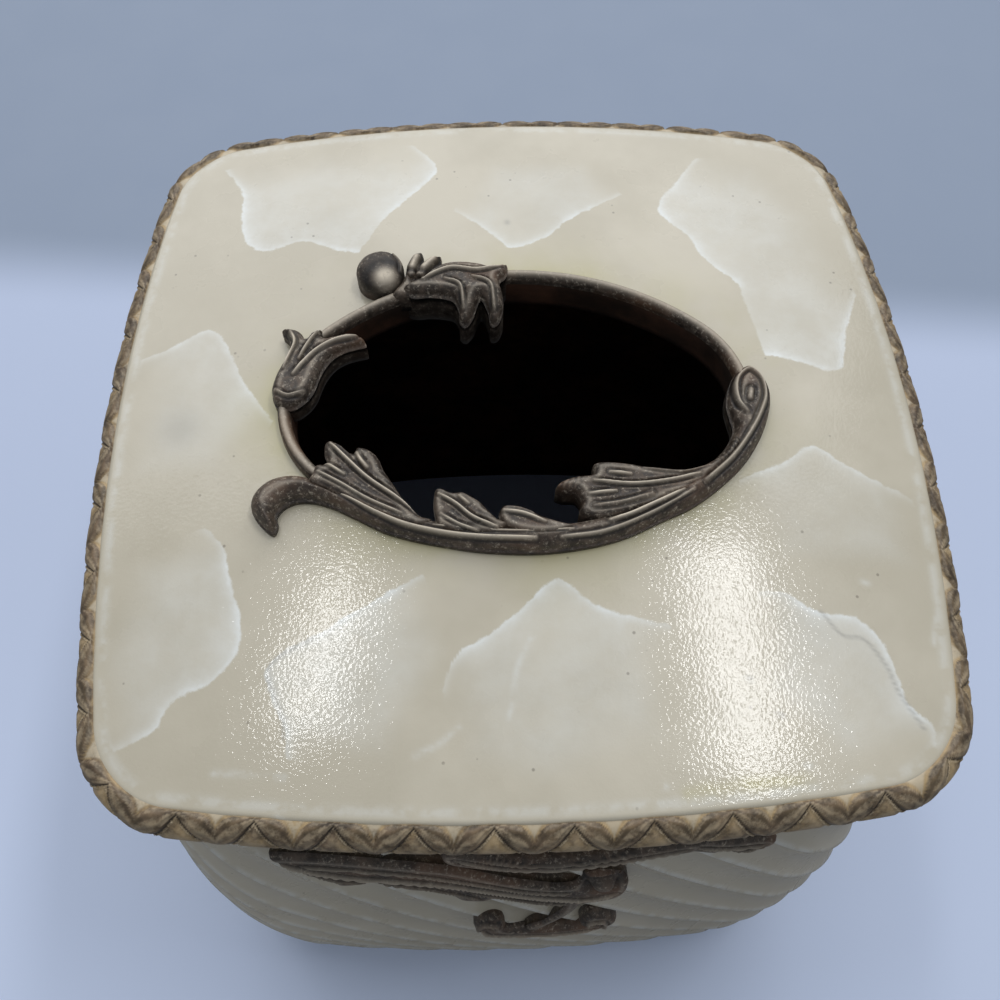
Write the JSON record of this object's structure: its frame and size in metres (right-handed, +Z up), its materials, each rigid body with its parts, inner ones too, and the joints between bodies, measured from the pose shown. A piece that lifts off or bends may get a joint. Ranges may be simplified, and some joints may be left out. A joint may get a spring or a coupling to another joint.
{
  "type": "tissue box cover",
  "caption": "Swelling square tissue box cover with swirl flutes, crowned deck, ribbon border and an oval mouth wreathed in leaves.",
  "frame": {"origin": "middle of the base, on the surface that the cover stands on", "axes": "+Z up, -Y to the front, +X to the right as the front is looked at"},
  "size_m": [0.1658, 0.1658, 0.1682],
  "materials": {
    "ivory_resin": "gloss",
    "gilt_border": "satin",
    "bronze_paint": "satin"
  },
  "bodies": {
    "root": {"fluted_sleeve": "ivory_resin", "top_deck": "ivory_resin", "ribbon_border": "gilt_border", "mouth_ring": "bronze_paint", "vine_stem": "bronze_paint", "leaf_left": "bronze_paint", "leaf_middle": "bronze_paint", "leaf_small": "bronze_paint", "leaf_right": "bronze_paint", "back_leaf": "bronze_paint", "back_curl": "bronze_paint", "back_sprout": "bronze_paint", "left_bud": "bronze_paint", "front_scroll_stem": "bronze_paint", "right_scroll_stem": "bronze_paint", "back_scroll_stem": "bronze_paint", "left_scroll_stem": "bronze_paint", "front_scroll_crest": "bronze_paint", "right_scroll_crest": "bronze_paint", "back_scroll_crest": "bronze_paint", "left_scroll_crest": "bronze_paint", "front_scroll_drop": "bronze_paint", "right_scroll_drop": "bronze_paint", "back_scroll_drop": "bronze_paint", "left_scroll_drop": "bronze_paint", "front_scroll_leaf": "bronze_paint", "right_scroll_leaf": "bronze_paint", "back_scroll_leaf": "bronze_paint", "left_scroll_leaf": "bronze_paint"}
  },
  "joints": []
}
